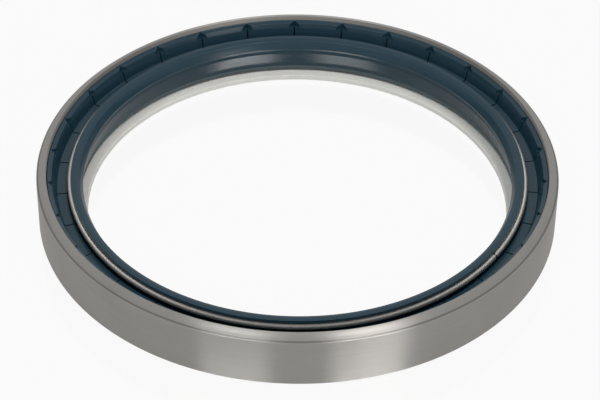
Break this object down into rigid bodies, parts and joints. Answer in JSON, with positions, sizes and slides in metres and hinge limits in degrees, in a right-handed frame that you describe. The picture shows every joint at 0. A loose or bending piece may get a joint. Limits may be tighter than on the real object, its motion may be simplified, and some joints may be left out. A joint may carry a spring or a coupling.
{
  "type": "wheel hub oil seal",
  "caption": "Round oil seal ring: ground steel outer case, blue rubber lip with notched ledge and garter spring, and a fleece dust washer in its bore.",
  "frame": {"origin": "centre of the ring on the flat bottom face of the case", "axes": "+Z along the ring's axis, out of the open side with the garter spring"},
  "size_m": [0.175, 0.175, 0.0191],
  "materials": {
    "case_steel": "ground, satin",
    "blue_rubber": "moulded, semi-gloss",
    "spring_steel": "drawn wire, bright",
    "white_fleece": "matt fleece"
  },
  "bodies": {
    "root": {"outer_case": "case_steel", "sealing_lip": "blue_rubber", "garter_spring": "spring_steel", "dust_ring": "white_fleece"}
  },
  "joints": []
}
